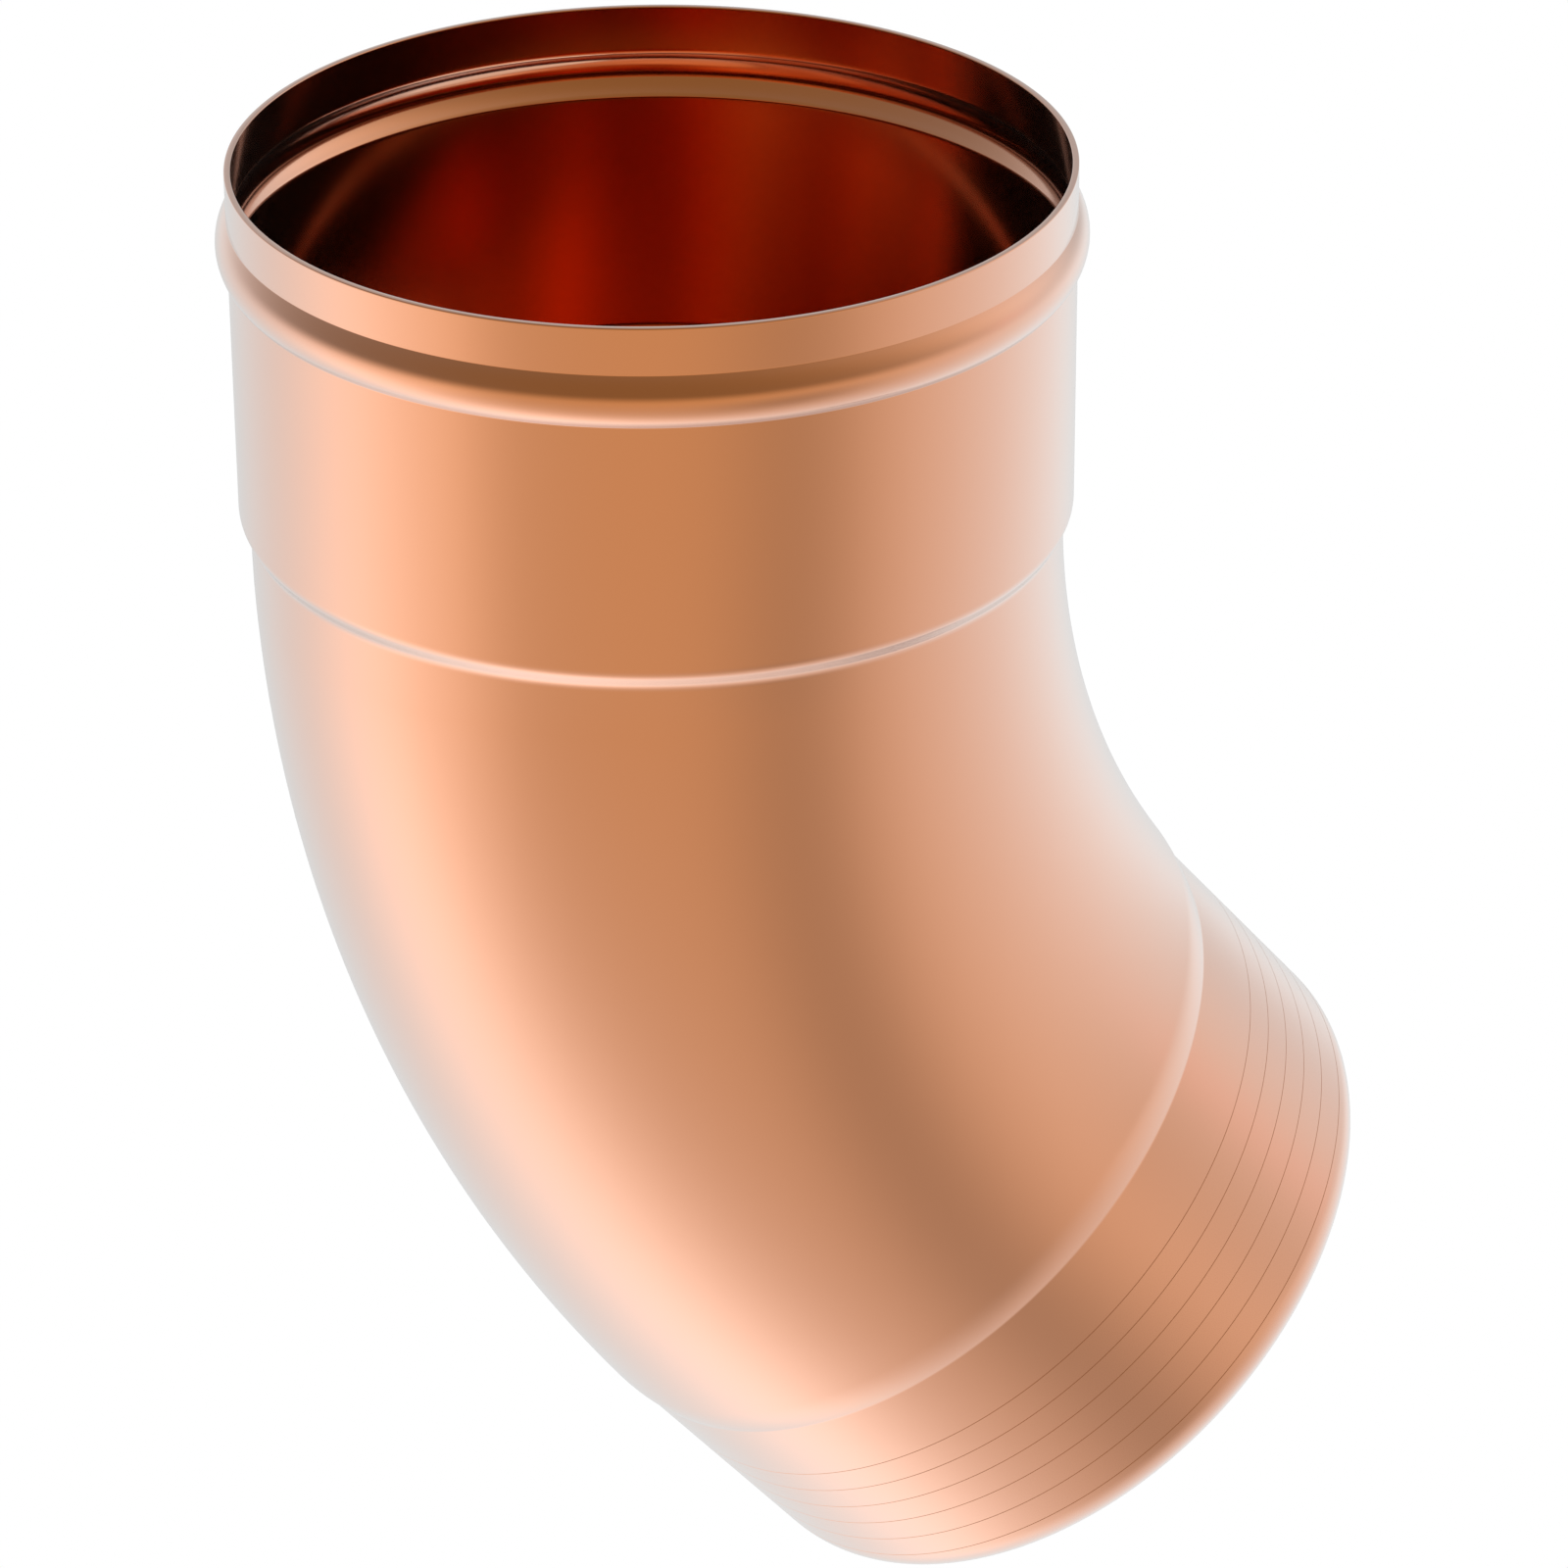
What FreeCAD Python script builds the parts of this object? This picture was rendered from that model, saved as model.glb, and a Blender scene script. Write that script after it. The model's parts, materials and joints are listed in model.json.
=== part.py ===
import FreeCAD, Part
import math
import os
import Sketcher

# A 40 degree elbow for a round copper rain pipe, formed from one piece of thin tube.
# From the top down it has a plain collar, a rolled bead, a wide socket that takes the pipe above, a
# small step, the bend, a low shoulder and a narrower spigot with engraved rings. The spigot's edge
# is drawn in, so that it starts easily in the pipe below.
# The origin is the centre of the socket's mouth, and +Z points out of the mouth, along the socket.
# The bend lies in the XZ plane and leads the water towards +X.

# Lengths in millimetres and angles in degrees
SIZES = {
    # the sheet, and the play between each end and the pipe it fits
    "wall": 0.8,
    "pipe_diameter": 100.0,
    "socket_play": 0.2,
    "spigot_play": 0.4,
    # the socket, measured down from its mouth
    "collar_height": 5.8,
    "bead_height": 6.5,
    "bead_rise": 1.4,
    "socket_depth": 42.4,
    "step_length": 3.2,
    # the bend, measured on the middle line of the tube
    "bend_radius": 149.6,
    "bend_angle": 40.0,
    # the shoulder drops to the spigot over this much of the turn, and the spigot is straight, so it
    # cuts the last part of the turn short
    "shoulder_drop": 0.6,
    "shoulder_turn": 1.8,
    "spigot_turn": 2.2,
    # the engraved rings, counted from the shoulder
    "ring_count": 6,
    "ring_start": 10.5,
    "ring_pitch": 4.04,
    "ring_width": 0.24,
    "ring_depth": 0.08,
    "ring_margin": 0.8,
    # the drawn-in edge of the spigot
    "edge_radius": 6.0,
    "edge_angle": 60.0,
}

# Sizes that follow from those above. The pipe below has the same wall as this elbow.
SOCKET_RADIUS = "(sizes.pipe_diameter + sizes.socket_play) / 2 + sizes.wall"
SPIGOT_RADIUS = "(sizes.pipe_diameter - sizes.spigot_play) / 2 - sizes.wall"
BEND_TUBE_RADIUS = "(" + SPIGOT_RADIUS + " + sizes.shoulder_drop)"
BEAD_RADIUS = "((sizes.bead_height / 2) ^ 2 + sizes.bead_rise ^ 2) / (2 * sizes.bead_rise)"
STEP_DROP = "(" + SOCKET_RADIUS + " - " + BEND_TUBE_RADIUS + ")"
STEP_RADIUS = "(sizes.step_length ^ 2 + " + STEP_DROP + " ^ 2) / (2 * " + STEP_DROP + ")"
BEND_START = "(sizes.socket_depth + sizes.step_length)"
FIRST_TURN = "(sizes.bend_angle - sizes.spigot_turn - sizes.shoulder_turn)"
SPIGOT_LEAD = "sizes.bend_radius * sin(sizes.spigot_turn)"
RING_SPAN = "(sizes.ring_count - 1) * sizes.ring_pitch"
SPIGOT_LENGTH = "sizes.ring_start + " + RING_SPAN + " + sizes.ring_margin"

# Where the middle line of the tube is after a turn, and where the spigot starts on its own axis
TURNED_X = "sizes.bend_radius * (1 - cos(%s))"
TURNED_Z = "-" + BEND_START + " - sizes.bend_radius * sin(%s)"
SPIGOT_X = TURNED_X % "sizes.bend_angle" + " - " + SPIGOT_LEAD + " * sin(sizes.bend_angle)"
SPIGOT_Z = TURNED_Z % "sizes.bend_angle" + " + " + SPIGOT_LEAD + " * cos(sizes.bend_angle)"

# How a sketch numbers the points of a curve, its own origin and its level axis
START, END, CENTRE = 1, 2, 3
ORIGIN = (-1, START)
LEVEL_AXIS = -1

doc = FreeCAD.newDocument("downspout_elbow")
sheet = doc.addObject("Spreadsheet::Sheet", "sizes")
for row, (alias, value) in enumerate(SIZES.items(), start=1):
    sheet.set("A%d" % row, alias)
    sheet.set("B%d" % row, str(value))
    sheet.setAlias("B%d" % row, alias)
doc.recompute()

body = doc.addObject("PartDesign::Body", "Body")
body.Label = "elbow"
planes = {feature.Role: feature for feature in body.Origin.OriginFeatures}


def number(expression):
    """What an expression of the sheet's sizes comes to."""
    return float(sheet.evalExpression(expression))


def point(x, y):
    return FreeCAD.Vector(x, y, 0)


def line(start, end):
    return Part.LineSegment(point(*start), point(*end))


def circle(centre, radius):
    return Part.Circle(point(*centre), FreeCAD.Vector(0, 0, 1), radius)


def arc(centre, radius, start_angle, end_angle):
    """Part of a circle that runs anticlockwise between two angles in radians."""
    return Part.ArcOfCircle(circle(centre, radius), start_angle, end_angle)


def sketch_along(name, x="0", z="0", tilt="0"):
    """A sketch in the plane of the bend, whose upright axis is the tube's middle line at (x, z)."""
    sketch = body.newObject("Sketcher::SketchObject", name)
    sketch.AttachmentSupport = [(planes["XZ_Plane"], "")]
    sketch.MapMode = "FlatFace"
    place = "placement(vector(%s; %s; 0); rotation(vector(0; 0; 1); %s))" % (x, z, tilt)
    sketch.setExpression("AttachmentOffset", place)
    return sketch


def sketch_across(name, x, z, tilt):
    """A sketch square to the tube's middle line at (x, z)."""
    sketch = body.newObject("Sketcher::SketchObject", name)
    sketch.AttachmentSupport = [(planes["XY_Plane"], "")]
    sketch.MapMode = "FlatFace"
    place = "placement(vector(%s; 0; %s); rotation(vector(0; 1; 0); -(%s)))" % (x, z, tilt)
    sketch.setExpression("AttachmentOffset", place)
    return sketch


def close_outline(sketch, pieces):
    """Adds the pieces of a closed outline, each with its way along it, and joins each to the next."""
    for curve, _ in pieces:
        sketch.addGeometry(curve, False)
    for index, (_, way) in enumerate(pieces):
        following = (index + 1) % len(pieces)
        leaving = END if way == "ahead" else START
        entering = START if pieces[following][1] == "ahead" else END
        constrain(sketch, "Coincident", index, leaving, following, entering)


def constrain(sketch, kind, *references):
    return sketch.addConstraint(Sketcher.Constraint(kind, *references))


def dimension(sketch, name, kind, references, expression):
    """A named dimension that stays bound to the sheet."""
    value = number(expression)
    if kind == "Angle":
        value = math.radians(value)
    index = constrain(sketch, kind, *references, value)
    sketch.renameConstraint(index, name)
    sketch.setExpression("Constraints." + name, expression)


def revolve(kind, name, sketch, axis="V_Axis", angle="360"):
    """Turns a sketch about its own upright axis, or about a line drawn in it."""
    feature = body.newObject("PartDesign::" + kind, name)
    feature.Profile = sketch
    feature.ReferenceAxis = (sketch, [axis])
    feature.setExpression("Angle", angle)
    return feature


def make_socket():
    """Collar, bead, socket and step: one outline of the sheet, turned about the socket's axis."""
    wall = number("sizes.wall")
    outer = number(SOCKET_RADIUS)
    bent = number(BEND_TUBE_RADIUS)

    # the bead is one arc over its chord, and its inside is an arc round the same centre
    half_chord = number("sizes.bead_height / 2")
    bead_radius = number(BEAD_RADIUS)
    inner_radius = bead_radius - wall
    bead_top = -number("sizes.collar_height")
    bead_bottom = bead_top - 2 * half_chord
    centre = (outer + number("sizes.bead_rise") - bead_radius, bead_top - half_chord)
    bead_angle = math.acos((outer - centre[0]) / bead_radius)
    inner_angle = math.acos((outer - wall - centre[0]) / inner_radius)
    groove_top = centre[1] + inner_radius * math.sin(inner_angle)
    groove_bottom = centre[1] - inner_radius * math.sin(inner_angle)

    # the step rounds over from the socket's side and ends in a sharp crease at the bend
    step_top = -number("sizes.socket_depth")
    step_bottom = -number(BEND_START)
    step_radius = number(STEP_RADIUS)
    step_centre = (outer - step_radius, step_top)
    step_angle = math.acos((bent - step_centre[0]) / step_radius)
    inner_step_angle = math.acos((bent - wall - step_centre[0]) / (step_radius - wall))
    inner_crease = step_top - (step_radius - wall) * math.sin(inner_step_angle)

    sketch = sketch_along("socket_section")
    close_outline(sketch, [
        (line((outer, 0), (outer, bead_top)), "ahead"),
        (arc(centre, bead_radius, -bead_angle, bead_angle), "back"),
        (line((outer, bead_bottom), (outer, step_top)), "ahead"),
        (arc(step_centre, step_radius, -step_angle, 0), "back"),
        (line((bent, step_bottom), (bent - wall, step_bottom)), "ahead"),
        (line((bent - wall, step_bottom), (bent - wall, inner_crease)), "ahead"),
        (arc(step_centre, step_radius - wall, -inner_step_angle, 0), "ahead"),
        (line((outer - wall, step_top), (outer - wall, groove_bottom)), "ahead"),
        (arc(centre, inner_radius, -inner_angle, inner_angle), "ahead"),
        (line((outer - wall, groove_top), (outer - wall, 0)), "ahead"),
        (line((outer - wall, 0), (outer, 0)), "ahead"),
    ])
    collar, bead, side, step, foot = range(5)
    inner_foot, inner_step, inner_side, inner_bead, inner_collar, mouth = range(5, 11)
    for index in (collar, side, inner_foot, inner_side, inner_collar):
        constrain(sketch, "Vertical", index)
    for index in (foot, mouth):
        constrain(sketch, "Horizontal", index)
    constrain(sketch, "PointOnObject", collar, START, LEVEL_AXIS)
    constrain(sketch, "Vertical", collar, END, side, START)
    constrain(sketch, "Vertical", inner_side, END, inner_collar, START)
    constrain(sketch, "Horizontal", side, END, inner_side, START)
    constrain(sketch, "Horizontal", side, END, step, CENTRE)
    constrain(sketch, "Coincident", inner_bead, CENTRE, bead, CENTRE)
    constrain(sketch, "Coincident", inner_step, CENTRE, step, CENTRE)
    constrain(sketch, "Equal", foot, mouth)
    dimension(sketch, "socket_radius", "DistanceX", (*ORIGIN, collar, START), SOCKET_RADIUS)
    dimension(sketch, "sheet", "DistanceX", (mouth, START, mouth, END), "sizes.wall")
    dimension(sketch, "collar_height", "DistanceY", (collar, END, collar, START), "sizes.collar_height")
    dimension(sketch, "bead_height", "DistanceY", (side, START, collar, END), "sizes.bead_height")
    dimension(sketch, "bead_radius", "Radius", (bead,), BEAD_RADIUS)
    dimension(sketch, "groove_radius", "Radius", (inner_bead,), BEAD_RADIUS + " - sizes.wall")
    dimension(sketch, "socket_depth", "DistanceY", (side, END, *ORIGIN), "sizes.socket_depth")
    dimension(sketch, "foot_depth", "DistanceY", (foot, START, *ORIGIN), BEND_START)
    dimension(sketch, "foot_radius", "DistanceX", (*ORIGIN, foot, START), BEND_TUBE_RADIUS)
    revolve("Revolution", "socket", sketch)


def make_ring(name, radius, x, z, tilt):
    """The tube cut square to its middle line: a ring as thick as the sheet."""
    sketch = sketch_across(name, x, z, tilt)
    sketch.addGeometry(circle((0, 0), number(radius)), False)
    sketch.addGeometry(circle((0, 0), number(radius + " - sizes.wall")), False)
    outside, inside = range(2)
    constrain(sketch, "Coincident", outside, CENTRE, *ORIGIN)
    constrain(sketch, "Coincident", inside, CENTRE, *ORIGIN)
    dimension(sketch, "outer_radius", "Radius", (outside,), radius)
    dimension(sketch, "inner_radius", "Radius", (inside,), radius + " - sizes.wall")
    return sketch


def make_bend():
    """The swept part of the tube: a ring turned about a line that lies across the bend."""
    away = number("sizes.bend_radius")
    sketch = make_ring("bend_ring", BEND_TUBE_RADIUS, "0", "-" + BEND_START, "0")
    axis = sketch.addGeometry(line((away, -away / 2), (away, away / 2)), True)
    constrain(sketch, "Symmetric", axis, START, axis, END, LEVEL_AXIS)
    dimension(sketch, "axis_distance", "DistanceX", (*ORIGIN, axis, START), "sizes.bend_radius")
    dimension(sketch, "axis_length", "DistanceY", (axis, START, axis, END), "sizes.bend_radius")
    revolve("Revolution", "bend", sketch, "Axis0", FIRST_TURN).Reversed = True


def make_shoulder():
    """The drop from the bend to the spigot: a loft between a ring of each, the last square to the spigot."""
    bend_end = make_ring(
        "bend_end", BEND_TUBE_RADIUS, TURNED_X % FIRST_TURN, TURNED_Z % FIRST_TURN, FIRST_TURN,
    )
    spigot_start = make_ring("spigot_start", SPIGOT_RADIUS, SPIGOT_X, SPIGOT_Z, "sizes.bend_angle")
    loft = body.newObject("PartDesign::AdditiveLoft", "shoulder")
    loft.Profile = bend_end
    loft.Sections = [spigot_start]


def make_spigot():
    """The straight end that slides into the pipe below, with its edge drawn in."""
    wall = number("sizes.wall")
    outer = number(SPIGOT_RADIUS)
    length = number(SPIGOT_LENGTH)
    radius = number("sizes.edge_radius")
    angle = math.radians(number("sizes.edge_angle"))
    centre = (outer - radius, -length)

    def on_edge(distance):
        return (centre[0] + distance * math.cos(angle), centre[1] - distance * math.sin(angle))

    sketch = sketch_along("spigot_section", SPIGOT_X, SPIGOT_Z, "sizes.bend_angle")
    close_outline(sketch, [
        (line((outer, 0), (outer, -length)), "ahead"),
        (arc(centre, radius, -angle, 0), "back"),
        (line(on_edge(radius), on_edge(radius - wall)), "ahead"),
        (arc(centre, radius - wall, -angle, 0), "ahead"),
        (line((outer - wall, -length), (outer - wall, 0)), "ahead"),
        (line((outer - wall, 0), (outer, 0)), "ahead"),
    ])
    side, edge, tip, inner_edge, inner_side, top = range(6)
    constrain(sketch, "Vertical", side)
    constrain(sketch, "Horizontal", top)
    constrain(sketch, "PointOnObject", side, START, LEVEL_AXIS)
    constrain(sketch, "Horizontal", side, END, inner_side, START)
    constrain(sketch, "Horizontal", side, END, edge, CENTRE)
    constrain(sketch, "Vertical", inner_side)
    constrain(sketch, "Coincident", inner_edge, CENTRE, edge, CENTRE)
    constrain(sketch, "PointOnObject", edge, CENTRE, tip)
    dimension(sketch, "spigot_radius", "DistanceX", (*ORIGIN, side, START), SPIGOT_RADIUS)
    dimension(sketch, "sheet", "DistanceX", (top, START, top, END), "sizes.wall")
    dimension(sketch, "length", "DistanceY", (side, END, side, START), SPIGOT_LENGTH)
    dimension(sketch, "edge_radius", "Radius", (edge,), "sizes.edge_radius")
    dimension(sketch, "edge_angle", "Angle", (edge,), "sizes.edge_angle")
    revolve("Revolution", "spigot", sketch)


def make_rings():
    """Fine rings cut round the spigot with a pointed roller: one V-shaped groove, repeated."""
    surface = number(SPIGOT_RADIUS)
    width = number("sizes.ring_width")
    depth = number("sizes.ring_depth")
    height = -number("sizes.ring_start")
    bottom = (surface - depth, height)
    above = (surface + depth, height + width)
    below = (surface + depth, height - width)
    sketch = sketch_along("ring_section", SPIGOT_X, SPIGOT_Z, "sizes.bend_angle")
    close_outline(sketch, [
        (line(bottom, above), "ahead"),
        (line(above, below), "ahead"),
        (line(below, bottom), "ahead"),
    ])
    upper_side, back, lower_side = range(3)
    constrain(sketch, "Vertical", back)
    constrain(sketch, "Equal", upper_side, lower_side)
    dimension(
        sketch, "bottom_radius", "DistanceX", (*ORIGIN, upper_side, START),
        SPIGOT_RADIUS + " - sizes.ring_depth",
    )
    dimension(sketch, "reach", "DistanceX", (upper_side, START, upper_side, END), "2 * sizes.ring_depth")
    dimension(sketch, "opening", "DistanceY", (back, END, back, START), "2 * sizes.ring_width")
    dimension(sketch, "start", "DistanceY", (upper_side, START, *ORIGIN), "sizes.ring_start")
    groove = revolve("Groove", "ring", sketch)
    doc.recompute()

    pattern = body.newObject("PartDesign::LinearPattern", "rings")
    pattern.Originals = [groove]
    pattern.Direction = (sketch, ["V_Axis"])
    pattern.Reversed = True
    pattern.setExpression("Length", RING_SPAN)
    pattern.setExpression("Occurrences", "sizes.ring_count")
    body.Tip = pattern


make_socket()
make_bend()
make_shoulder()
make_spigot()
make_rings()
doc.recompute()

for item in doc.Objects:
    if "Invalid" in item.State or "Error" in item.State:
        raise RuntimeError("%s could not be made" % item.Name)
    if item.TypeId == "Sketcher::SketchObject" and not item.FullyConstrained:
        raise RuntimeError("%s is not fully dimensioned" % item.Name)
if body.Shape.isNull() or not body.Shape.isValid() or len(body.Shape.Solids) != 1:
    raise RuntimeError("%s is not one sound solid" % body.Label)

os.makedirs("parts", exist_ok=True)
body.Shape.exportStep(os.path.join("parts", body.Label + ".step"))
print("%s: %.0f mm3 of copper, %d faces" % (body.Label, body.Shape.Volume, len(body.Shape.Faces)))
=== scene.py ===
# %% [markdown]
# # A copper downspout elbow
# The real thing is one piece of thin copper tube. Its top is a wide socket with a rolled bead, its
# middle is a smooth bend of 40 degrees, and its lower end is a narrower spigot with fine rings that
# slides into the next pipe. We load the measured frame first, because every size that the frame
# knows is read from it and not typed again.

# %% Load the frame
import json
import math

import bmesh
import bpy
from mathutils import Matrix, Vector


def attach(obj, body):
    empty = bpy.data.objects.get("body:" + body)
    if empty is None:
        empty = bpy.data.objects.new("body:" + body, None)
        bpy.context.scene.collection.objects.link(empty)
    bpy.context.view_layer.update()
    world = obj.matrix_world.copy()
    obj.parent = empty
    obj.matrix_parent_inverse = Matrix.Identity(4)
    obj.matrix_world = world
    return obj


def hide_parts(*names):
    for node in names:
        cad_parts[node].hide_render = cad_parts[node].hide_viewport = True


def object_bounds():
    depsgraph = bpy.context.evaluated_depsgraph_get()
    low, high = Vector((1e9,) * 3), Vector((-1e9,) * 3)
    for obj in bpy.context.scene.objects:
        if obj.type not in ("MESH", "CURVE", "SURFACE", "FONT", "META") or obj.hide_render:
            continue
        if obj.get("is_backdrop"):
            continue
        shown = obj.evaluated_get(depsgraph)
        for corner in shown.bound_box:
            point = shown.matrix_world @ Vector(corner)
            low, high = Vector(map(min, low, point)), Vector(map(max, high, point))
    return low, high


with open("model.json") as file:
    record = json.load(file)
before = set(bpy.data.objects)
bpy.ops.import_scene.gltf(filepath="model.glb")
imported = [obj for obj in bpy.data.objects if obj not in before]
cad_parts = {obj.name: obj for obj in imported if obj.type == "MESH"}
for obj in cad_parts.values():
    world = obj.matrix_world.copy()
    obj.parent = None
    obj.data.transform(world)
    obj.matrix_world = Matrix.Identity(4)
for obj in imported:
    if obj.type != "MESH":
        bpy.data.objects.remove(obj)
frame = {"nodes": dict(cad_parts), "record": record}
cad_low, cad_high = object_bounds()
mounts = {mount["name"]: mount for mount in frame["record"]["mounts"]}
print("the frame holds", sorted(frame["nodes"]), "and the mounts", sorted(mounts))

# %% [markdown]
# ## Sizes
# All sizes are in millimetres, as on a workshop drawing, and one factor turns them into Blender's
# metres where a point is made. The socket's bore and depth, and the spigot's radius, length, place
# and direction, come from the frame's mounts. The tube between the two is a little wider than the
# spigot, and the sheet has the same thickness everywhere.

# %% Sizes that the whole elbow shares, in millimetres
MM = 0.001
WALL = 0.8
SOCKET_INSIDE = mounts["socket"]["dims"]["r_mm"]
SOCKET_OUTSIDE = SOCKET_INSIDE + WALL
SOCKET_DEPTH = mounts["socket"]["dims"]["length_mm"]

SPIGOT_RADIUS = mounts["spigot"]["dims"]["r_mm"]
SPIGOT_LENGTH = mounts["spigot"]["dims"]["length_mm"]
SHOULDER_DROP = 0.6
TUBE_RADIUS = SPIGOT_RADIUS + SHOULDER_DROP
radii = [round(radius, 2) for radius in (SOCKET_OUTSIDE, TUBE_RADIUS, SPIGOT_RADIUS)]
print("outside radii of the socket, the tube and the spigot:", radii)

# %% [markdown]
# ## Drawing an outline with a travelling point
# A tube that was rolled and drawn is round everywhere, so each straight part of it is an outline
# turned about an axis. We draw the outline the way a pen would: one vertex is extruded along the
# straight runs, and it is spun about a centre for the round stretches. That keeps every arc a true
# arc, and leaves no list of points to work out.

# %% Helpers that draw an outline in the XZ plane
ACROSS = Vector((0, 1, 0))
SUPPORT = 0.25
SHORT_RUN = 4 * SUPPORT
ARC_STEP = math.radians(6.0)
FEWEST_ARC_STEPS = 3


def pen_at(mesh, x, z):
    """A first vertex at a radius and a height, in millimetres."""
    return mesh.verts.new((x * MM, 0, z * MM))


def straight(mesh, pen, x, z):
    """A straight run, with a support vertex near each end so that shading stays flat along it."""
    goal = Vector((x, 0, z)) * MM
    run = goal - pen.co
    stops = [goal]
    if run.length > SHORT_RUN * MM:
        near = run.normalized() * SUPPORT * MM
        stops = [pen.co + near, goal - near, goal]
    for stop in stops:
        made = bmesh.ops.extrude_vert_indiv(mesh, verts=[pen])
        pen = made["verts"][0]
        pen.co = stop
    return pen


def rounded(mesh, pen, x, z, angle):
    """An arc about a centre. A positive angle turns from +Z towards +X."""
    made = bmesh.ops.spin(
        mesh, geom=[pen], cent=Vector((x, 0, z)) * MM, axis=ACROSS, angle=angle,
        steps=max(FEWEST_ARC_STEPS, math.ceil(abs(angle) / ARC_STEP)), use_duplicate=False,
    )
    return next(item for item in made["geom_last"] if isinstance(item, bmesh.types.BMVert))


print("an arc of 90 degrees is drawn in", math.ceil(math.pi / 2 / ARC_STEP), "steps")

# %% [markdown]
# ## The socket
# The socket is the wide end that takes the pipe above. A roller can only bend the sheet and not thin
# it, so the bead is one large arc with a small one at each foot, and the step below it is a short cone
# between two arcs. The angle that each arc turns by follows from how far the outline runs on and how
# far it moves in or out meanwhile, so we work out those angles and guess none.

# %% Sizes and angles of the bead and the step
COLLAR_HEIGHT = 5.8
BEAD_HEIGHT = 6.5
BEAD_RISE = 1.4
BEAD_FOOT = 0.12
STEP_BELOW_SEAT = 0.8
STEP_LENGTH = 3.2
STEP_LIP = 2.0
STEP_FOOT = 2.0
STEP_TOP = -(SOCKET_DEPTH + STEP_BELOW_SEAT)
STEP_END = STEP_TOP - STEP_LENGTH


def s_curve(length, drop):
    """The sum of the two radii of an S-curve, and the angle that each of its arcs turns by."""
    both = (length**2 + drop**2) / (2 * drop)
    return both, math.asin(length / both)


def cone_turn(length, drop, both):
    """The angle of the cone that joins two arcs, from the sum of their radii."""
    run = math.sqrt(length**2 + drop**2 - 2 * drop * both)
    return math.atan2(length, both - drop) - math.atan2(run, both)


BEAD_ARCS, BEAD_TURN = s_curve(BEAD_HEIGHT / 2, BEAD_RISE)
STEP_TURN = cone_turn(STEP_LENGTH, SOCKET_OUTSIDE - TUBE_RADIUS, STEP_LIP + STEP_FOOT)
print("the bead's arcs turn by", round(math.degrees(BEAD_TURN), 1), "degrees each")
print("the step's cone leans by", round(math.degrees(STEP_TURN), 1), "degrees")

# %% [markdown]
# Now the pen goes round the socket. It starts inside at the foot of the step, climbs the inside,
# crosses the thin rim and comes down the outside. Both sides of the sheet turn about the same
# centres, which keeps its thickness all the way. A full spin makes a tube of the outline, and merging
# the doubles closes its seam.

# %% The socket's outline, turned about the vertical axis
SEGMENTS = 256
MERGE_WITHIN = 0.002
UP = Vector((0, 0, 1))


def turn_outline(mesh):
    """Turns an outline once about the vertical axis and closes the seam."""
    bmesh.ops.spin(
        mesh, geom=mesh.verts[:] + mesh.edges[:], cent=(0, 0, 0), axis=UP, angle=math.tau,
        steps=SEGMENTS, use_merge=True, use_duplicate=False,
    )
    bmesh.ops.remove_doubles(mesh, verts=mesh.verts[:], dist=MERGE_WITHIN * MM)


def make_socket():
    """The socket with its bead and its step. The rim is at height 0."""
    bead_x = SOCKET_OUTSIDE + BEAD_RISE - (BEAD_ARCS - BEAD_FOOT)
    bead_top = -COLLAR_HEIGHT
    bead_foot = bead_top - BEAD_HEIGHT
    bead_middle = (bead_top + bead_foot) / 2
    lip_x = SOCKET_OUTSIDE + BEAD_FOOT
    step_x = SOCKET_OUTSIDE - STEP_LIP
    foot_x = TUBE_RADIUS + STEP_FOOT
    lean = Vector((math.cos(STEP_TURN), 0, -math.sin(STEP_TURN)))
    inner_lip = Vector((step_x, 0, STEP_TOP)) + (STEP_LIP - WALL) * lean
    outer_foot = Vector((foot_x, 0, STEP_END)) - STEP_FOOT * lean

    mesh = bmesh.new()
    pen = pen_at(mesh, TUBE_RADIUS - WALL, STEP_END)
    pen = rounded(mesh, pen, foot_x, STEP_END, STEP_TURN)
    pen = straight(mesh, pen, inner_lip.x, inner_lip.z)
    pen = rounded(mesh, pen, step_x, STEP_TOP, -STEP_TURN)
    pen = straight(mesh, pen, SOCKET_INSIDE, bead_foot)
    pen = rounded(mesh, pen, lip_x, bead_foot, BEAD_TURN)
    pen = rounded(mesh, pen, bead_x, bead_middle, -2 * BEAD_TURN)
    pen = rounded(mesh, pen, lip_x, bead_top, BEAD_TURN)
    pen = straight(mesh, pen, SOCKET_INSIDE, 0)
    pen = straight(mesh, pen, SOCKET_OUTSIDE, 0)
    pen = straight(mesh, pen, SOCKET_OUTSIDE, bead_top)
    pen = rounded(mesh, pen, lip_x, bead_top, -BEAD_TURN)
    pen = rounded(mesh, pen, bead_x, bead_middle, 2 * BEAD_TURN)
    pen = rounded(mesh, pen, lip_x, bead_foot, -BEAD_TURN)
    pen = straight(mesh, pen, SOCKET_OUTSIDE, STEP_TOP)
    pen = rounded(mesh, pen, step_x, STEP_TOP, STEP_TURN)
    pen = straight(mesh, pen, outer_foot.x, outer_foot.z)
    rounded(mesh, pen, foot_x, STEP_END, -STEP_TURN)
    turn_outline(mesh)
    return mesh


socket = make_socket()
print("socket:", len(socket.faces), "faces")

# %% [markdown]
# ## The bend
# The bend is a ring swept about a line that lies across the tube, so two circles, one for each side
# of the sheet, are spun about it. Spinning gives the true torus, with even rows of faces and no path
# object to set up. The spin starts a little way into the bend, and its first circles are extruded back
# once, to the level end of the step. It stops where the shoulder takes over.

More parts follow.
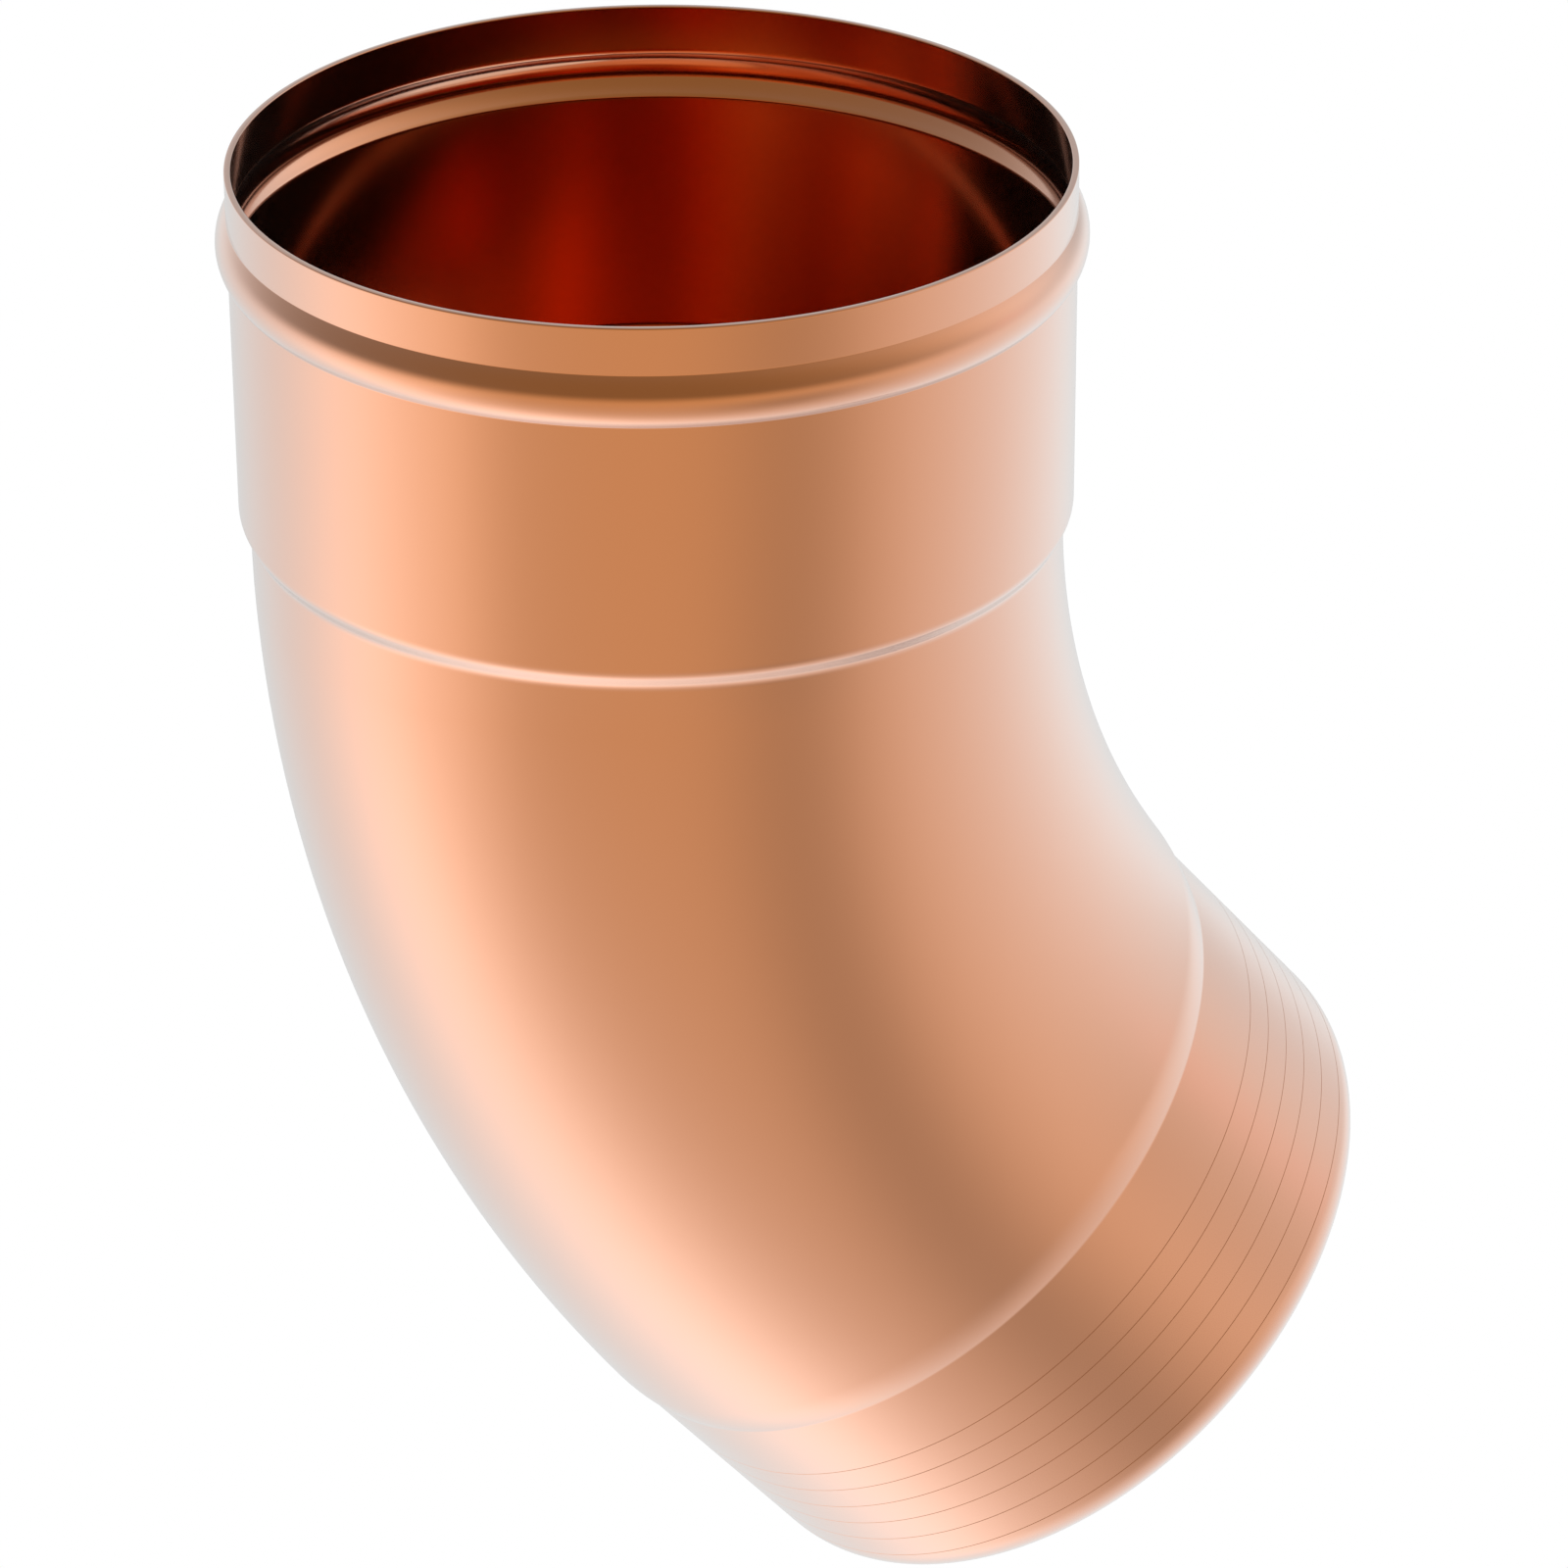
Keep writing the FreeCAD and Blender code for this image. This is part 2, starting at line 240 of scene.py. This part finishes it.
# %% The bend, spun about the line across it
BEND_RADIUS = 149.6
BEND_START = -(SOCKET_DEPTH + STEP_LENGTH)
BEND_ANGLE = math.atan2(mounts["spigot"]["axis"][0], -mounts["spigot"]["axis"][2])
BEND_CENTRE = Vector((BEND_RADIUS, 0, 0)) * MM
BEND_STEP = math.radians(0.75)
SPIN_START = 3 * BEND_STEP
SPIN_END = math.radians(33.0)

at_bend = Matrix.Translation(Vector((0, 0, BEND_START * MM)))
at_spigot = Matrix.Translation(mounts["spigot"]["pos_m"]) @ Matrix.Rotation(-BEND_ANGLE, 4, "Y")


def onward(angle):
    """The move along the bend while it turns by an angle, as seen from a place on the middle line."""
    turn = Matrix.Rotation(-angle, 4, "Y")
    return Matrix.Translation(BEND_CENTRE) @ turn @ Matrix.Translation(-BEND_CENTRE)


def make_bend():
    """Both sides of the bent tube, with the start of the bend at the origin."""
    mesh = bmesh.new()
    for radius in (TUBE_RADIUS, TUBE_RADIUS - WALL):
        bmesh.ops.create_circle(
            mesh, cap_ends=False, radius=radius * MM, segments=SEGMENTS, matrix=onward(SPIN_START),
        )
    circles = mesh.edges[:]
    bmesh.ops.spin(
        mesh, geom=circles, cent=BEND_CENTRE, axis=ACROSS, angle=SPIN_START - SPIN_END,
        steps=round((SPIN_END - SPIN_START) / BEND_STEP), use_duplicate=False,
    )
    made = bmesh.ops.extrude_edge_only(mesh, edges=circles)["geom"]
    verts = [item for item in made if isinstance(item, bmesh.types.BMVert)]
    step_end = Matrix.Translation((0, 0, (STEP_END - BEND_START) * MM))
    bmesh.ops.transform(mesh, matrix=step_end @ onward(SPIN_START).inverted(), verts=verts)
    return mesh


bend = make_bend()
print("bend:", len(bend.faces), "faces of a turn of", round(math.degrees(BEND_ANGLE), 2), "degrees")

# %% [markdown]
# ## The shoulder
# The spigot was pressed into the end of the bend by a round tool, straight along the spigot's own
# axis. So the tube rounds over by little more than half a millimetre within an even distance of a
# crease that is square to the spigot, and not to the bend. For such a form we make a straight tube
# of hoops one unit apart, and then give every hoop its place. The first ones stay on the bend and
# lean over until they are parallel to the crease. The others pass from the bend to the spigot, a
# little at first and more towards the end.

# %% The shoulder, a straight tube with every hoop moved to its place
SHOULDER_LENGTH = 4.9
LEANING_HOOPS = 8
PRESSED_HOOPS = 14


def turn_of(point):
    """How far the bend has turned where a point is level with its middle line."""
    arm = at_bend.inverted() @ point - BEND_CENTRE
    return math.atan2(-arm.z, -arm.x)


SHOULDER_TURN = turn_of(at_spigot @ Vector((0, 0, SHOULDER_LENGTH * MM)))


def onto_bend(point, radius):
    """The point of the bent tube's surface that lies straight out from the middle line."""
    middle = (at_bend @ onward(turn_of(point))).translation
    return middle + (point - middle).normalized() * radius * MM


def shoulder_point(point, radius):
    """Where a point of the straight tube goes. Its height is the number of its hoop."""
    hoop = round(point.z)
    on_circle = Vector((point.x, point.y, 0)) * MM
    if hoop <= LEANING_HOOPS:
        part = hoop / LEANING_HOOPS
        along = at_bend @ onward(SPIN_END + part * (SHOULDER_TURN - SPIN_END))
        lean = Matrix.Rotation(-part * (BEND_ANGLE - SHOULDER_TURN), 4, "Y")
        return onto_bend(along @ lean @ (on_circle * radius), radius)
    part = (hoop - LEANING_HOOPS) / PRESSED_HOOPS
    back = Vector((0, 0, (1 - part) * SHOULDER_LENGTH * MM))
    bent = onto_bend(at_spigot @ (on_circle * radius + back), radius)
    pressed = at_spigot @ (on_circle * (radius - SHOULDER_DROP) + back)
    return bent.lerp(pressed, part**2)


def make_shoulder():
    """Both sides of the shoulder, already in their place on the elbow."""
    mesh = bmesh.new()
    for radius in (TUBE_RADIUS, TUBE_RADIUS - WALL):
        tube = bmesh.new()
        bmesh.ops.create_circle(tube, cap_ends=False, radius=1.0, segments=SEGMENTS)
        bmesh.ops.spin(
            tube, geom=tube.edges[:], cent=(0, 0, 0), axis=UP, dvec=UP, angle=0.0,
            steps=LEANING_HOOPS + PRESSED_HOOPS, use_duplicate=False,
        )
        for vert in tube.verts:
            vert.co = shoulder_point(vert.co, radius)
        side = bpy.data.meshes.new("side")
        tube.to_mesh(side)
        tube.free()
        mesh.from_mesh(side)
        bpy.data.meshes.remove(side)
    return mesh


shoulder = make_shoulder()
print("shoulder:", len(shoulder.faces), "faces, from a turn of", round(math.degrees(SHOULDER_TURN), 1))

# %% [markdown]
# ## The spigot
# Six fine rings were cut round the spigot with a pointed roller, so each is a small V in the outline,
# little wider than a scratch. Past the last ring the edge is drawn in on an arc, which is what lets
# the spigot slip into the next pipe.

# %% The spigot's outline, turned about the vertical axis
RING_COUNT = 6
RING_START = 10.5
RING_PITCH = 4.04
RING_WIDTH = 0.10
RING_DEPTH = 0.06
EDGE_RADIUS = 6.0
EDGE_ANGLE = math.radians(60.0)


def make_spigot():
    """The spigot with its rings and its drawn-in edge. The shoulder's crease is at height 0."""
    mesh = bmesh.new()
    pen = pen_at(mesh, SPIGOT_RADIUS, 0)
    for index in range(RING_COUNT):
        height = -RING_START - index * RING_PITCH
        pen = straight(mesh, pen, SPIGOT_RADIUS, height + RING_WIDTH / 2)
        pen = straight(mesh, pen, SPIGOT_RADIUS - RING_DEPTH, height)
        pen = straight(mesh, pen, SPIGOT_RADIUS, height - RING_WIDTH / 2)
    pen = straight(mesh, pen, SPIGOT_RADIUS, -SPIGOT_LENGTH)
    centre = SPIGOT_RADIUS - EDGE_RADIUS
    pen = rounded(mesh, pen, centre, -SPIGOT_LENGTH, EDGE_ANGLE)
    inner = EDGE_RADIUS - WALL
    inner_x = centre + inner * math.cos(EDGE_ANGLE)
    inner_z = -SPIGOT_LENGTH - inner * math.sin(EDGE_ANGLE)
    pen = straight(mesh, pen, inner_x, inner_z)
    pen = rounded(mesh, pen, centre, -SPIGOT_LENGTH, -EDGE_ANGLE)
    straight(mesh, pen, SPIGOT_RADIUS - WALL, 0)
    turn_outline(mesh)
    return mesh


spigot = make_spigot()
print("spigot:", len(spigot.faces), "faces")

# %% [markdown]
# ## One shell
# The real elbow has no seam between its stretches, so the four meshes become one. They meet in circles
# with the same number of points in the same places, and merging the doubles sews them together. The
# normals are recalculated only after that, when the shell is closed and has a clear outside.

# %% Join the four stretches into one closed shell
def join(parts):
    """One mesh of several, each moved to its place first, with the meeting circles merged."""
    whole = bmesh.new()
    for part, place in parts:
        bmesh.ops.transform(part, matrix=place, verts=part.verts[:])
        loose = bpy.data.meshes.new("loose")
        part.to_mesh(loose)
        part.free()
        whole.from_mesh(loose)
        bpy.data.meshes.remove(loose)
    bmesh.ops.remove_doubles(whole, verts=whole.verts[:], dist=MERGE_WITHIN * MM)
    bmesh.ops.recalc_face_normals(whole, faces=whole.faces[:])
    return whole


shell = join([
    (socket, Matrix.Identity(4)),
    (bend, at_bend),
    (shoulder, Matrix.Identity(4)),
    (spigot, at_spigot),
])
open_edges = [edge for edge in shell.edges if not edge.is_manifold]
print("shell:", len(shell.faces), "faces,", len(open_edges), "open edges")

# %% [markdown]
# ## Creases and shading
# The cut edges of the sheet and the crease at the shoulder aren't knife edges, so the bevel operator
# gives them a very small rounding that catches a thin line of light. The six rings are left sharp:
# a bevel that fits between their edges would be finer than anything that shows. Everything else is
# shaded smooth.

# %% Round the creases and shade the rest smooth
CREASE_OVER = math.radians(7.0)
CREASE_WIDTH = 0.1


def on_rings(point):
    """Whether a point lies on the stretch of the spigot that has the rings."""
    below_crease = -(at_spigot.inverted() @ point).z / MM
    return RING_START - RING_PITCH < below_crease < SPIGOT_LENGTH - SUPPORT


def round_creases(mesh):
    """Bevels the creases, leaves the rings sharp, and counts the edges of both."""
    sharp = [edge for edge in mesh.edges if edge.calc_face_angle(0.0) > CREASE_OVER]
    creases = [edge for edge in sharp if not on_rings(edge.verts[0].co)]
    for face in mesh.faces:
        face.smooth = True
    for edge in set(sharp) - set(creases):
        edge.smooth = False
    bmesh.ops.bevel(
        mesh, geom=creases, offset=CREASE_WIDTH * MM, offset_type="OFFSET", affect="EDGES",
        segments=2, profile=0.5, material=-1, clamp_overlap=True,
    )
    return len(creases), len(sharp) - len(creases)


print("edges rounded, edges left sharp:", round_creases(shell))
elbow_data = bpy.data.meshes.new("copper_elbow")
shell.to_mesh(elbow_data)
shell.free()
elbow = bpy.data.objects.new("copper_elbow", elbow_data)
bpy.context.scene.collection.objects.link(elbow)
print("elbow:", sum(len(face.vertices) - 2 for face in elbow_data.polygons), "triangles")

# %% [markdown]
# ## The copper
# New roofing copper is rolled, drawn and then left as it is: a metal with a satin sheen that is
# sharp enough to show bright and dark bands, and soft enough to blur what makes them. Copper colours
# what it reflects head on, and lets it go white where the eye meets it at a flat angle. The shader
# for a metal does that only in the last few degrees, and here the whitening starts sooner, so the
# gloss gets it from Layer Weight. The copper is a little duller than in a table of metals, and the
# room is brighter for it: outside that looks the same, but inside the tube, where light bounces many
# times and loses some at each, it gives the deep red of the real one.

# %% Helpers for colours and nodes
def linear(hex_colour):
    """An sRGB hex colour as the linear values that a shader socket takes."""
    parts = [int(hex_colour[index:index + 2], 16) / 255 for index in (1, 3, 5)]
    curve = [part / 12.92 if part <= 0.04045 else ((part + 0.055) / 1.055) ** 2.4 for part in parts]
    return (*curve, 1.0)


def add_node(owner, kind, sockets=None, **settings):
    """Adds a node with its settings, and gives each named socket a value or the output that feeds it."""
    tree = owner.node_tree
    node = tree.nodes.new(kind)
    for name, value in settings.items():
        setattr(node, name, value)
    for place, value in (sockets or {}).items():
        if isinstance(value, bpy.types.NodeSocket):
            tree.links.new(value, node.inputs[place])
        else:
            node.inputs[place].default_value = value
    return node


print("a middle grey of #808080 is", round(linear("#808080")[0], 3), "on the linear scale")

# %% Satin copper sheet
# Rolled copper with a mill finish: a clear mirror for large shapes and a blur for small ones. Such
# sheet has a roughness of 0.1 to 0.2, and this one is matched to how soft its bright bands are.
COPPER_COLOUR = "#DC894D"
EDGE_COLOUR = "#E1E1E1"
RIM_TINT = "#F8F7F6"
COPPER_ROUGHNESS = 0.13

# With a blend of one half, Facing is one less the cosine of the angle of view. A power above one
# holds the copper colour a little longer before it whitens.
EVEN_BLEND = 0.5
WHITENING = 1.26

satin_copper = bpy.data.materials.new("satin_copper_sheet")
satin_copper.use_nodes = True
satin_copper.node_tree.nodes.clear()
facing = add_node(satin_copper, "ShaderNodeLayerWeight", {"Blend": EVEN_BLEND})
edge_on = add_node(
    satin_copper, "ShaderNodeMath", {0: facing.outputs["Facing"], 1: WHITENING}, operation="POWER",
)
gloss_colour = add_node(
    satin_copper, "ShaderNodeMix",
    {"Factor": edge_on.outputs[0], "A": linear(COPPER_COLOUR), "B": linear(EDGE_COLOUR)},
    data_type="RGBA",
)
copper = add_node(
    satin_copper, "ShaderNodeBsdfPrincipled",
    {
        "Base Color": gloss_colour.outputs[2], "Metallic": 1.0, "Roughness": COPPER_ROUGHNESS,
        "Specular Tint": linear(RIM_TINT),
    },
)
add_node(satin_copper, "ShaderNodeOutputMaterial", {"Surface": copper.outputs["BSDF"]})
elbow_data.materials.append(satin_copper)
print("copper:", [round(part, 2) for part in linear(COPPER_COLOUR)[:3]], "head on, as linear colour")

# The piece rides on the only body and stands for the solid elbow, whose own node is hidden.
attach(elbow, "root")
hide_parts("elbow")

# %% [markdown]
# ## The camera
# The picture was taken from a little above and from the left, with a long lens, so the lines of the
# tube hardly run together. The camera is placed by its direction and its distance, and then turned
# towards a point near the middle of the elbow.

# %% Camera
CAMERA_AZIMUTH = math.radians(-19.35)
CAMERA_ELEVATION = math.radians(22.15)
CAMERA_DISTANCE = 803.4
CAMERA_AIM = (18.15, 4.62, -89.76)
CAMERA_ROLL = math.radians(-0.29)

# A lens of 154 mm on a sensor that is 36 mm wide is a long one, as for portraits.
LENS = 154.19
SENSOR_WIDTH = 36.0
NEAREST_SEEN = 10.0
FURTHEST_SEEN = 100000.0

camera_data = bpy.data.cameras.new("camera")
camera = bpy.data.objects.new("camera", camera_data)
bpy.context.scene.collection.objects.link(camera)
bpy.context.scene.camera = camera
camera_data.sensor_width = SENSOR_WIDTH
camera_data.lens = LENS
camera_data.clip_start = NEAREST_SEEN * MM
camera_data.clip_end = FURTHEST_SEEN * MM
reach = CAMERA_DISTANCE * MM
camera.location = (
    reach * math.sin(CAMERA_AZIMUTH) * math.cos(CAMERA_ELEVATION),
    -reach * math.cos(CAMERA_AZIMUTH) * math.cos(CAMERA_ELEVATION),
    reach * math.sin(CAMERA_ELEVATION),
)
look = Vector(CAMERA_AIM) * MM - camera.location
camera.rotation_mode = "QUATERNION"
camera.rotation_quaternion = look.to_track_quat("-Z", "Y")
camera.rotation_quaternion.rotate(Matrix.Rotation(CAMERA_ROLL, 3, -look).to_quaternion())
field_of_view = math.degrees(2 * math.atan(SENSOR_WIDTH / 2 / LENS))
print("the camera sees", round(field_of_view, 1), "degrees from", round(look.length, 3), "metres away")

# %% [markdown]
# ## The light
# Metal shows little of itself and much of the room, so the light is the room. Above the horizon it is
# dim, apart from a window on the right and a wall behind. Below it everything is paler, with a bright
# panel on the left and a glow from underneath. Each panel is a soft spot on the world's sphere:
# brightest towards one direction, and fading with the angle from it. Lamps could do this too, but a
# metal would show their hard edges. A card with a strength below zero takes light away, and keeps the
# sides of the tube from burning out. One weak warm glow gives the pink streak on the spigot.

# %% Soft panels on the world's sphere
# Each panel is its strength, azimuth, elevation and spread, and the last three are in degrees.
PANELS_ABOVE = {
    "window on the right": (0.79, 88, 20, 29),
    "wall behind": (0.68, -10, -7, 25),
}
PANELS_BELOW = {
    "panel on the left": (0.65, -75, -33, 18),
    "glow from underneath": (0.60, -86, -74, 17),
    "pale right side": (0.67, 50, 25, 80),
    "black card": (-0.31, 160, -34, 14),
    "grey card behind": (-0.34, 19, -22, 18),
    "strip on the left": (0.16, -104, -20, 9),
    "pale floor on the right": (0.09, 52, -60, 20),
    "pale floor in front": (0.05, 176, -80, 12),
}
WARM_GLOW = (0.08, 98, 2, 6)

world = bpy.data.worlds.new("studio")
bpy.context.scene.world = world
world.use_nodes = True
world.node_tree.nodes.clear()
direction = add_node(world, "ShaderNodeTexCoord").outputs["Generated"]


def add_panel(total, strength, azimuth, elevation, spread):
    """Adds one soft panel to the light so far. Azimuth runs from +Y towards +X."""
    turn, rise, width = math.radians(azimuth), math.radians(elevation), math.radians(spread)
    towards = (math.sin(turn) * math.cos(rise), math.cos(turn) * math.cos(rise), math.sin(rise))
    nearness = add_node(
        world, "ShaderNodeVectorMath", {0: direction, 1: towards}, operation="DOT_PRODUCT",
    )
    fall = add_node(
        world, "ShaderNodeMath", {0: nearness.outputs["Value"], 1: width**-2, 2: -(width**-2)},
        operation="MULTIPLY_ADD",
    )
    spot = add_node(world, "ShaderNodeMath", {0: fall.outputs[0]}, operation="EXPONENT")
    return add_node(
        world, "ShaderNodeMath", {0: spot.outputs[0], 1: strength, 2: total},
        operation="MULTIPLY_ADD",
    ).outputs[0]


print("the studio has", len(PANELS_ABOVE) + len(PANELS_BELOW), "soft panels and a warm glow")

# %% [markdown]
# The room is two halves, each an even light with its panels on top. They pass into each other over a
# soft horizon, because a sharp one would run round the metal as a line. The warm glow is added to the
# red alone, so it tints and hardly brightens.

# %% One room from the half above and the half below
ROOM_ABOVE = 0.33
ROOM_BELOW = 0.57
HORIZON_TOP = math.sin(math.radians(9.0))
HORIZON_FOOT = math.sin(math.radians(-16.0))

above, below = ROOM_ABOVE, ROOM_BELOW
for panel in PANELS_ABOVE.values():
    above = add_panel(above, *panel)
for panel in PANELS_BELOW.values():
    below = add_panel(below, *panel)
height = add_node(world, "ShaderNodeSeparateXYZ", {0: direction}).outputs["Z"]
depth = add_node(
    world, "ShaderNodeMapRange",
    {"Value": height, "From Min": HORIZON_TOP, "From Max": HORIZON_FOOT},
    interpolation_type="SMOOTHSTEP",
)
light = add_node(world, "ShaderNodeMix", {"Factor": depth.outputs[0], 2: above, 3: below}).outputs[0]
warm = add_panel(light, *WARM_GLOW)
lit = add_node(world, "ShaderNodeCombineColor", {"Red": warm, "Green": light, "Blue": light})
print("the room is made of", len(world.node_tree.nodes), "nodes")

# %% [markdown]
# ## A white room
# The picture has a plain white ground, but a metal in an all white room would look flat. So the
# world is two things: the panels for whatever the copper reflects, and plain white for the camera.
# The Standard view shows each colour as it was worked out, so that white stays white.

# %% A white room for the camera
WHITE = linear("#FFFFFF")
path = add_node(world, "ShaderNodeLightPath")
seen = add_node(
    world, "ShaderNodeMix",
    {"Factor": path.outputs["Is Camera Ray"], "A": lit.outputs[0], "B": WHITE},
    data_type="RGBA",
)
room = add_node(world, "ShaderNodeBackground", {"Color": seen.outputs[2], "Strength": 1.0})
add_node(world, "ShaderNodeOutputWorld", {"Surface": room.outputs[0]})
bpy.context.scene.view_settings.view_transform = "Standard"
print("view transform:", bpy.context.scene.view_settings.view_transform)

# %% [markdown]
# ## The floor
# The elbow hangs in the air in the picture and throws no shadow that shows. The floor is a pale disc
# far below, as bright as the room, and the copper doesn't reflect it.

# %% Floor
# Matt white paper under even lamps: it shows no grain, shadow or edge, only the same soft white.
FLOOR_DEPTH = 600.0
FLOOR_RADIUS = 4000.0
FLOOR_SEGMENTS = 96
floor_mesh = bmesh.new()
bmesh.ops.create_circle(
    floor_mesh, cap_ends=True, radius=FLOOR_RADIUS * MM, segments=FLOOR_SEGMENTS,
    matrix=Matrix.Translation((0, 0, -FLOOR_DEPTH * MM)),
)
floor_data = bpy.data.meshes.new("floor")
floor_mesh.to_mesh(floor_data)
floor_mesh.free()
floor = bpy.data.objects.new("floor", floor_data)
bpy.context.scene.collection.objects.link(floor)
floor.visible_glossy = False
white_paper = bpy.data.materials.new("lit_white_floor")
white_paper.use_nodes = True
white_paper.node_tree.nodes.clear()
glow = add_node(white_paper, "ShaderNodeEmission", {"Color": WHITE, "Strength": 1.0})
add_node(white_paper, "ShaderNodeOutputMaterial", {"Surface": glow.outputs[0]})
floor_data.materials.append(white_paper)
floor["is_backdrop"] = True
print("the floor lies", FLOOR_DEPTH, "mm below the rim")

# %% [markdown]
# ## Measuring
# The dressed elbow has to keep the size of the solid one. So we take the box of all that shows, and
# print how far it is from the frame's own box.

# %% Measure the elbow
shown_low, shown_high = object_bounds()
apart = [abs(a - b) / MM for a, b in zip((*cad_low, *cad_high), (*shown_low, *shown_high))]
print("the two boxes differ by", round(max(apart), 3), "mm at most")
